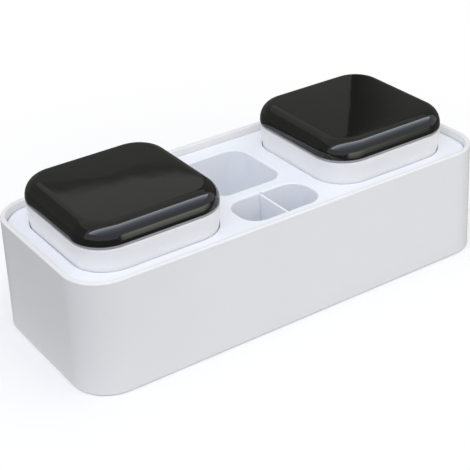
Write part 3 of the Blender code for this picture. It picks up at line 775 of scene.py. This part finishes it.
def mould_cap():
    """A lid's cap: an oval edge that flows into a slightly crowned top, hollow underneath."""
    low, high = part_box("left_lid_cap")
    high.z -= CAP_CROWN
    rise = high.z - low.z - CAP_SIDE
    cap = dome("left_cap", low, high, CAP_ROUND_WIDTH, rise / CAP_ROUND_WIDTH, CUP_CORNER)
    with shaping(cap):
        pick("FACE", level_at(high.z))
        for step in range(CROWN_STEPS):
            outer = 1 - step / (CROWN_STEPS + 1)
            inner = 1 - (step + 1) / (CROWN_STEPS + 1)
            lift = CAP_CROWN * (outer ** 2 - inner ** 2)
            bpy.ops.mesh.extrude_region_move(TRANSFORM_OT_translate={"value": (0, 0, lift)})
            shrink = inner / outer
            bpy.ops.transform.resize(value=(shrink, shrink, 1), center_override=(-CUP_X, CUP_Y, 0))
    inner_low = low + Vector((CAP_WALL, CAP_WALL, -OVERRUN))
    inner_high = high - Vector((CAP_WALL, CAP_WALL, CAP_WALL))
    hollow = dome(
        "hollow",
        inner_low,
        inner_high,
        CAP_ROUND_WIDTH,
        (rise - CAP_WALL) / CAP_ROUND_WIDTH,
        CUP_CORNER - CAP_WALL,
    )
    combine(cap, [hollow], "DIFFERENCE")
    posts = []
    place = CUP_MOUTH / 2 * CAP_POST_PLACE_SHARE
    foot = low.z + LINER_THICKNESS + SEAT_GAP
    for x, y in ((-place, -place), (place, -place), (-place, place), (place, place)):
        posts.append(
            peg("weld_post", x - CUP_X, y + CUP_Y, CAP_POST_DIAMETER, foot, high.z - CAP_WALL / 2)
        )
    combine(cap, posts, "UNION")
    return cap


def dome(name, low, high, width, stretch, corner):
    """A rounded square block whose top edge is a quarter oval, drawn as an arc and stretched."""
    height = (high.z - low.z) / stretch
    piece = block(name, low, (high.x, high.y, low.z + height))
    with shaping(piece):
        pick("EDGE", along(2))
        round_edges(corner, CORNER_STEPS)
        pick("EDGE", level_at(low.z + height))
        round_edges(width, DOME_STEPS)
        bpy.ops.mesh.select_all(action="SELECT")
        bpy.ops.transform.resize(value=(1, 1, stretch), center_override=(0, 0, low.z))
    return piece


def ring(name, low, high, corner, width, edge):
    """A flat rounded square ring with softened edges."""
    piece = block(name, low, high)
    with shaping(piece):
        pick("EDGE", along(2))
        round_edges(corner, CORNER_STEPS)
        pick("FACE", flat)
        bpy.ops.mesh.inset(thickness=width)
        bpy.ops.mesh.bridge_edge_loops()
        pick("EDGE", sharp)
        round_edges(edge, SEAL_STEPS)
    return piece


def mould_seal():
    """The soft ring between the cap and the cup."""
    low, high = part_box("left_lid_seal")
    inset = (CUP_MOUTH - (high.x - low.x)) / 2
    return ring("left_seal", low, high, CUP_CORNER - inset, SEAL_WIDTH, SEAL_ROUND)


def mould_liner():
    """The liner: a flange in the cap, and a drafted skirt that plugs the cup's mouth."""
    low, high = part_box("left_lid_liner")
    cap_bottom = high.z - LINER_THICKNESS
    half = (high.x - low.x) / 2
    flange_inset = CUP_MOUTH / 2 - half
    skirt_half = CUP_MOUTH / 2 - CUP_WALL - WELL_GAP
    liner = block("left_liner", (low.x, low.y, cap_bottom), high)
    drop = cap_bottom - low.z
    drawn_in = drop * math.tan(CUP_DRAFT)
    shrink = 1 - drawn_in / skirt_half
    with shaping(liner):
        pick("EDGE", along(2))
        round_edges(CUP_CORNER - flange_inset, CORNER_STEPS)
        pick("FACE", facing(2, -1))
        bpy.ops.mesh.inset(thickness=half - skirt_half)
        bpy.ops.mesh.extrude_region_move(TRANSFORM_OT_translate={"value": (0, 0, -drop)})
        bpy.ops.transform.resize(value=(shrink, shrink, 1), center_override=(-CUP_X, CUP_Y, low.z))
        bpy.ops.mesh.inset(thickness=LINER_WALL)
        bpy.ops.mesh.extrude_region_move(TRANSFORM_OT_translate={"value": (0, 0, drop)})
        pick("EDGE", level_at(low.z))
        round_edges(LINER_ROUND, FINE_STEPS)
    return liner


def turn_screw(name, x, y):
    """A pan-head screw with a rolled thread and a cross recess."""
    low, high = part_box(name)
    head_top = low.z + SCREW_HEAD_HEIGHT
    core = SCREW_DIAMETER / 2 - THREAD_DEPTH
    screw = peg(name + "_turned", x, y, SCREW_HEAD_DIAMETER, low.z, head_top)
    with shaping(screw):
        pick("EDGE", level_at(low.z))
        round_edges(SCREW_HEAD_ROUND, HEAD_STEPS)
        pick("FACE", level_at(head_top))
        bpy.ops.mesh.inset(thickness=SCREW_HEAD_DIAMETER / 2 - core)
        turns = int((high.z - SCREW_TIP - head_top) / THREAD_PITCH)
        for _ in range(turns):
            for share, step in THREAD_PROFILE:
                lift = share * THREAD_PITCH
                bpy.ops.mesh.extrude_region_move(TRANSFORM_OT_translate={"value": (0, 0, lift)})
                if step:
                    radius = core if step > 0 else core + THREAD_DEPTH
                    scale = (radius + step) / radius
                    bpy.ops.transform.resize(value=(scale, scale, 1), center_override=(x, y, 0))
        left = high.z - head_top - turns * THREAD_PITCH
        bpy.ops.mesh.extrude_region_move(TRANSFORM_OT_translate={"value": (0, 0, left)})
        tip = (SCREW_TIP_SHARE, SCREW_TIP_SHARE, 1)
        bpy.ops.transform.resize(value=tip, center_override=(x, y, 0))
    cuts = []
    for long_x in (DRIVE_LENGTH, DRIVE_WIDTH):
        half_x = long_x / 2
        half_y = (DRIVE_LENGTH + DRIVE_WIDTH - long_x) / 2
        blade_low = (x - half_x, y - half_y, low.z - OVERRUN)
        blade_high = (x + half_x, y + half_y, low.z + DRIVE_DEPTH)
        blade = block("drive", blade_low, blade_high)
        with shaping(blade):
            pick("VERT", level_at(low.z + DRIVE_DEPTH))
            foot = (DRIVE_FOOT_SHARE, DRIVE_FOOT_SHARE, 1)
            bpy.ops.transform.resize(value=foot, center_override=(x, y, 0))
        cuts.append(blade)
    for cut in cuts:
        combine(screw, [cut], "DIFFERENCE")
    return screw


class Level:
    """A number that changes over a surface. Sums on it add Math nodes to its tree."""

    def __init__(self, nodes, socket):
        self.nodes = nodes
        self.socket = socket

    def worked(self, operation, first, second):
        """The result of one Math node."""
        node = self.nodes.add("ShaderNodeMath", {"operation": operation}, {0: first, 1: second})
        return Level(self.nodes, node.outputs[0])

    def __add__(self, other):
        return self.worked("ADD", self, other)

    __radd__ = __add__

    def __sub__(self, other):
        return self.worked("SUBTRACT", self, other)

    def __rsub__(self, other):
        return self.worked("SUBTRACT", other, self)

    def __mul__(self, other):
        return self.worked("MULTIPLY", self, other)

    __rmul__ = __mul__

    def __pow__(self, other):
        return self.worked("POWER", self, other)

    def __gt__(self, other):
        return self.worked("GREATER_THAN", self, other)

    def __lt__(self, other):
        return self.worked("LESS_THAN", self, other)


class Nodes:
    """A node tree, and the one way in which nodes are added to it."""

    def __init__(self, tree):
        self.tree = tree

    def add(self, kind, settings, sockets):
        """Add a node, make its settings, and then give its sockets their values or links."""
        node = self.tree.nodes.new(kind)
        for setting, value in settings.items():
            if setting == "stops":
                for stop, (place, level) in zip(node.color_ramp.elements, value):
                    stop.position = place
                    stop.color = (level, level, level, 1)
            else:
                setattr(node, setting, value)
        for name, value in sockets.items():
            if isinstance(name, int):
                self.give(node.inputs[name], value)
            else:
                self.give(next(s for s in node.inputs if s.enabled and s.name == name), value)
        return node

    def give(self, socket, value):
        """Link a value that changes over the surface to a socket, or set one that doesn't."""
        if isinstance(value, Level):
            self.tree.links.new(value.socket, socket)
        elif isinstance(value, bpy.types.NodeSocket):
            self.tree.links.new(value, socket)
        elif isinstance(value, tuple) and len(value) == 3 and socket.type == "RGBA":
            socket.default_value = (*value, 1)
        else:
            socket.default_value = value

    def level(self, node, output=0):
        """A node's output as a number to work with."""
        return Level(self, node.outputs[output])

    def eased(self, level, start, end):
        """0 where a level is at start, 1 where it is at end, with a smooth change between."""
        settings = {"interpolation_type": "SMOOTHSTEP"}
        sockets = {"Value": level, "From Min": start, "From Max": end}
        return self.level(self.add("ShaderNodeMapRange", settings, sockets))

    def tint(self, dark, light, amount):
        """A colour between two, by a level."""
        settings = {"data_type": "RGBA"}
        node = self.add("ShaderNodeMix", settings, {"Factor": amount, "A": dark, "B": light})
        return node.outputs[2]


class Finish(Nodes):
    """One finish of the holder: a material whose patterns follow the piece's own coordinates."""

    def __init__(self, name, **fixed):
        self.material = bpy.data.materials.new(name)
        self.material.use_nodes = True
        super().__init__(self.material.node_tree)
        self.shader = self.tree.nodes["Principled BSDF"]
        for socket, value in fixed.items():
            self.shader.inputs[socket.replace("_", " ")].default_value = value
        self.place = self.add("ShaderNodeTexCoord", {}, {}).outputs["Object"]

    def cloud(self, size, detail=2.0, roughness=0.5):
        """Soft random patches of about this size."""
        sockets = {"Vector": self.place, "Scale": 1 / size}
        sockets.update({"Detail": detail, "Roughness": roughness})
        return self.level(self.add("ShaderNodeTexNoise", {}, sockets), "Fac")

    def cells(self, size):
        """Distance to the middle of the nearest cell of a foam of about this size."""
        sockets = {"Vector": self.place, "Scale": 1 / size}
        return self.level(self.add("ShaderNodeTexVoronoi", {}, sockets))

    def ramp(self, level, low, high):
        """A level stretched so that low becomes 0 and high becomes 1."""
        settings = {"stops": ((low, 0), (high, 1))}
        return self.level(self.add("ShaderNodeValToRGB", settings, {"Fac": level}))

    def emboss(self, height, depth, strength=1.0):
        """Raise the surface by a level times a depth."""
        sockets = {"Height": height, "Distance": depth, "Strength": strength}
        self.give(self.shader.inputs["Normal"], self.add("ShaderNodeBump", {}, sockets).outputs[0])

    def wear(self, colour, roughness):
        """Give the surface its colour and roughness."""
        self.give(self.shader.inputs["Base Color"], colour)
        self.give(self.shader.inputs["Roughness"], roughness)
        return self.material


def moulded(name, colour, roughness, grain_depth):
    """A moulded plastic: fine tool grain, faint flow shades and a slightly uneven sheen."""
    finish = Finish(name, IOR=PLASTIC_IOR)
    flow = finish.cloud(FLOW_SIZE)
    mottle = finish.cloud(MOTTLE_SIZE)
    finish.emboss(finish.cloud(GRAIN_SIZE, detail=1), grain_depth)
    shade = tuple(channel * FLOW_SHADE for channel in colour)
    sheen = roughness + SHEEN_SPREAD * (mottle - 0.5) + SHEEN_SPREAD * (flow - 0.5)
    return finish.wear(finish.tint(shade, colour, finish.ramp(flow, *FLOW_RAMP)), sheen)


def gloss_black():
    """The lids' polished black: a deep colour with a barely wavy skin and faint haze."""
    finish = Finish("gloss_black", IOR=POLISH_IOR)
    haze = finish.cloud(HAZE_SIZE, detail=4)
    finish.emboss(finish.cloud(WAVE_SIZE, detail=1), WAVE_DEPTH)
    sheen = BLACK_ROUGHNESS + HAZE_ROUGHNESS * finish.ramp(haze, *HAZE_RAMP)
    return finish.wear(finish.tint(BLACK_DEEP, BLACK_PALE, haze), sheen)


def soft_rubber():
    """The grey seal: matte, with a talc-like bloom."""
    finish = Finish("soft_grey_rubber", IOR=POLISH_IOR)
    bloom = finish.cloud(BLOOM_SIZE, detail=3)
    finish.emboss(bloom, BLOOM_DEPTH)
    sheen = RUBBER_ROUGHNESS + BLOOM_ROUGHNESS * bloom
    return finish.wear(finish.tint(RUBBER_DARK, RUBBER_PALE, bloom), sheen)


def foam_tape():
    """The tape's closed foam: small dark cells in a pale skin."""
    finish = Finish("foam_tape", IOR=FOAM_IOR)
    cell = finish.cells(CELL_SIZE)
    finish.emboss(cell, CELL_DEPTH, CELL_STRENGTH)
    colour = finish.tint(FOAM_DARK, FOAM_PALE, finish.ramp(cell, *CELL_RAMP))
    return finish.wear(colour, FOAM_ROUGHNESS + PATCH_ROUGHNESS * finish.cloud(PATCH_SIZE))


def plated_steel():
    """Zinc-plated steel: a mottled grey sheen."""
    finish = Finish("plated_steel", Metallic=1.0)
    grain = finish.cloud(ZINC_GRAIN_SIZE, detail=4)
    finish.emboss(grain, ZINC_GRAIN_DEPTH)
    sheen = ZINC_ROUGHNESS + ZINC_GRAIN_ROUGHNESS * grain
    return finish.wear(finish.tint(ZINC_DARK, ZINC_PALE, grain), sheen)


def make_pieces():
    """Model and dress every piece of the holder."""
    body_white = moulded("body_white", *BODY_WHITE)
    # The tray's finish carries painted light: a lighter, cooler white than the body's.
    tray_white = moulded("tray_white", *TRAY_WHITE_AND_PAINTED_LIGHT)
    cup_white = moulded("cup_white", *CUP_WHITE)
    liner_white = moulded("liner_white", *LINER_WHITE)
    plate_white = moulded("plate_white", *PLATE_WHITE)
    black = gloss_black()
    grey = soft_rubber()
    steel = plated_steel()

    dress(mould_body(), body_white, "holder", "body", "outer_shell")
    dress(mould_tray(), tray_white, "holder", "tray", "inner_tray")
    dress(mould_cover(), body_white, "holder", "body", "base_cover")
    for corner, (x, y) in post_places().items():
        node = "base_screw_" + corner
        dress(turn_screw(node, x, y), steel, "holder", "screw", node)

    made = (
        (mould_cup(), "_tumbler", cup_white, "_cup", "cup", "_cup"),
        (mould_cap(), "_cap", black, "_lid", "cap", "_lid_cap"),
        (mould_liner(), "_liner", liner_white, "_lid", "liner", "_lid_liner"),
        (mould_seal(), "_seal", grey, "_lid", "seal", "_lid_seal"),
    )
    for left, label, finish, body, slot, node in made:
        right = copied(left, "right" + label, (2 * CUP_X, 0, 0))
        dress(left, finish, "left" + body, slot, "left" + node)
        dress(right, finish, "right" + body, slot, "right" + node)

    for node, finish in (
        ("wall_plate", plate_white),
        ("adhesive_pad", foam_tape()),
        # The divider takes the tray's white, with its painted cool light.
        ("brush_divider", tray_white),
    ):
        for material in frame["nodes"][node].material_slots:
            material.material = finish


def seen_ray(nodes):
    """1 for a ray from the camera, off gloss or through glass, and 0 for light on the object."""
    rays = nodes.add("ShaderNodeLightPath", {}, {})
    camera = nodes.level(rays, "Is Camera Ray")
    glossy = nodes.level(rays, "Is Glossy Ray")
    transmission = nodes.level(rays, "Is Transmission Ray")
    return camera + glossy + transmission > SEEN_FROM


def lay_floor():
    """A pale floor that takes the shadow and clears to white away from the object."""
    bpy.ops.object.select_all(action="DESELECT")
    bpy.ops.mesh.primitive_circle_add(
        vertices=FLOOR_STEPS,
        radius=FLOOR_RADIUS,
        fill_type="NGON",
        location=(0, 0, -FLOOR_DROP),
    )
    floor = bpy.context.object
    floor.name = "floor"
    material = bpy.data.materials.new("pale_floor")
    material.use_nodes = True
    nodes = Nodes(material.node_tree)
    seen = seen_ray(nodes)
    place = nodes.add("ShaderNodeTexCoord", {}, {}).outputs["Object"]
    x = nodes.level(nodes.add("ShaderNodeSeparateXYZ", {}, {"Vector": place}), "X")
    left = nodes.eased(x, FLOOR_DARK_FROM, FLOOR_DARK_TO)
    length = nodes.add("ShaderNodeVectorMath", {"operation": "LENGTH"}, {0: place})
    clear = nodes.eased(nodes.level(length, "Value"), FLOOR_CLEAR_FROM, FLOOR_CLEAR_TO)
    tone = nodes.tint(nodes.tint(FLOOR_TONE, FLOOR_DARK_TONE, left), FLOOR_SEEN_TONE, seen)
    matte = nodes.add("ShaderNodeBsdfDiffuse", {}, {"Color": tone})
    white = nodes.add("ShaderNodeEmission", {}, {"Strength": 1.0})
    mix = nodes.add(
        "ShaderNodeMixShader", {}, {0: clear * seen, 1: matte.outputs[0], 2: white.outputs[0]}
    )
    nodes.give(nodes.tree.nodes["Material Output"].inputs["Surface"], mix.outputs[0])
    floor.data.materials.append(material)


def light_room():
    """A white room, seen by the camera and in reflections, with a plain level of soft light."""
    world = bpy.data.worlds.new("white_room")
    world.use_nodes = True
    bpy.context.scene.world = world
    nodes = Nodes(world.node_tree)
    background = nodes.tree.nodes["Background"]
    background.inputs["Color"].default_value = (1, 1, 1, 1)
    nodes.give(background.inputs["Strength"], ROOM_LEVEL + (1 - ROOM_LEVEL) * seen_ray(nodes))


def hang_lamp(name, place, power, size, colour):
    """A soft square lamp that looks at the object. The cards stand for it in reflections."""
    light = bpy.data.lights.new(name, "AREA")
    light.energy = power
    light.size = size
    light.color = colour
    lamp = bpy.data.objects.new(name, light)
    lamp.location = place
    lamp.rotation_euler = (-Vector(place)).to_track_quat("-Z", "Y").to_euler()
    lamp.visible_glossy = False
    bpy.context.scene.collection.objects.link(lamp)


def only_reflected(thing, colour_of_place):
    """Make an object glow in reflections and nowhere else."""
    bpy.ops.object.transform_apply(location=True, rotation=True, scale=True)
    material = bpy.data.materials.new(thing.name)
    material.use_nodes = True
    nodes = Nodes(material.node_tree)
    place = nodes.add("ShaderNodeTexCoord", {}, {}).outputs["Object"]
    split = nodes.add("ShaderNodeSeparateXYZ", {}, {"Vector": place})
    x, y, z = (nodes.level(split, axis) for axis in ("X", "Y", "Z"))
    glow = nodes.add("ShaderNodeEmission", {}, {"Color": colour_of_place(nodes, x, y, z)})
    nodes.give(nodes.tree.nodes["Material Output"].inputs["Surface"], glow.outputs[0])
    thing.data.materials.append(material)
    for kind in ("camera", "diffuse", "transmission", "shadow", "volume_scatter"):
        setattr(thing, "visible_" + kind, False)


def raise_wall():
    """The wall round the floor."""
    bpy.ops.object.select_all(action="DESELECT")
    bpy.ops.mesh.primitive_cylinder_add(
        vertices=WALL_STEPS,
        radius=WALL_RADIUS,
        depth=WALL_TOP,
        end_fill_type="NOTHING",
        location=(0, 0, WALL_TOP / 2),
    )
    wall = bpy.context.object
    wall.name = "studio_wall"

    def colour(nodes, x, y, z):
        height = z + WALL_PALE_SLOPE * (x - WALL_PALE_MIDDLE)
        left = x < WALL_PALE_END
        shade = nodes.eased(height, WALL_SHADE_FROM, WALL_SHADE_TO) * left
        pale = nodes.eased(height, WALL_PALE_FROM, WALL_PALE_TO) * left
        back = nodes.tint(nodes.tint(WALL_GREY, WALL_SHADE, shade), WALL_PALE, pale)
        beyond = x - WALL_DARK_SIDE * y
        dark = nodes.tint(WALL_DARK, WALL_DARK_END, nodes.eased(beyond, 0, WALL_DARK_WIDTH))
        back = nodes.tint(back, dark, beyond > 0)
        return nodes.tint(back, WALL_FRONT, y < 0)

    only_reflected(wall, colour)


def spread(name, height, colour_of_place):
    """A level round sheet within the wall, for the table top and the ceiling."""
    bpy.ops.object.select_all(action="DESELECT")
    bpy.ops.mesh.primitive_circle_add(
        vertices=WALL_STEPS, radius=WALL_RADIUS, fill_type="NGON", location=(0, 0, height)
    )
    sheet = bpy.context.object
    sheet.name = name
    only_reflected(sheet, colour_of_place)


def ceiling_tone(nodes, x, y, z):
    """Grey over the back of the room, and white over its front."""
    return nodes.tint(CEILING_GREY, CEILING_WHITE, y < CEILING_FRONT)


def hang_cards():
    """The card above the object and the warm one in front of it."""
    bpy.ops.object.select_all(action="DESELECT")
    bpy.ops.mesh.primitive_plane_add(size=1, location=(Vector(CARD_LOW) + Vector(CARD_HIGH)) / 2)
    card = bpy.context.object
    card.name = "overhead_card"
    card.scale = (CARD_HIGH[0] - CARD_LOW[0], CARD_HIGH[1] - CARD_LOW[1], 1)

    def fading(nodes, x, y, z):
        nearness = (y - CARD_LOW[1]) * (1 / (CARD_HIGH[1] - CARD_LOW[1]))
        return nodes.tint(CARD_COLOUR, CARD_EDGE_COLOUR, nearness ** CARD_FALL)

    only_reflected(card, fading)

    bpy.ops.object.select_all(action="DESELECT")
    middle = (Vector(STRIP_LOW) + Vector(STRIP_HIGH)) / 2
    bpy.ops.mesh.primitive_plane_add(size=1, location=middle, rotation=(math.pi / 2, 0, 0))
    strip = bpy.context.object
    strip.name = "front_card"
    strip.scale = (STRIP_HIGH[0] - STRIP_LOW[0], STRIP_HIGH[2] - STRIP_LOW[2], 1)

    def ending_softly(nodes, x, y, z):
        left = nodes.eased(x, STRIP_LOW[0], STRIP_LOW[0] + STRIP_LEFT_FADE)
        right = nodes.eased(x, STRIP_HIGH[0], STRIP_HIGH[0] - STRIP_RIGHT_FADE)
        warm = nodes.tint(STRIP_FOOT_COLOUR, STRIP_COLOUR, nodes.eased(z, 0, STRIP_HIGH[2]))
        return nodes.tint(TABLE_COLOUR, warm, left * right)

    only_reflected(strip, ending_softly)


def set_camera():
    """The camera, where the photograph was taken from."""
    data = bpy.data.cameras.new("camera")
    data.lens = CAMERA_LENS
    camera = bpy.data.objects.new("camera", data)
    aim = Euler((math.pi / 2 + CAMERA_PITCH, 0, CAMERA_YAW)).to_matrix()
    turn = aim @ Matrix.Rotation(CAMERA_ROLL, 3, "Z")
    camera.matrix_world = Matrix.Translation(CAMERA_PLACE) @ turn.to_4x4()
    bpy.context.scene.collection.objects.link(camera)
    bpy.context.scene.camera = camera


set_camera()
make_pieces()
lay_floor()
light_room()
hang_lamp("top_lamp", TOP_PLACE, TOP_POWER, TOP_SIZE, TOP_COLOUR)
hang_lamp("left_lamp", LEFT_PLACE, LEFT_POWER, LEFT_SIZE, LEFT_COLOUR)
raise_wall()
spread("studio_table", -FLOOR_DROP / 2, lambda nodes, x, y, z: TABLE_COLOUR)
spread("studio_ceiling", WALL_TOP, ceiling_tone)
hang_cards()
bpy.context.scene.view_settings.view_transform = "Standard"
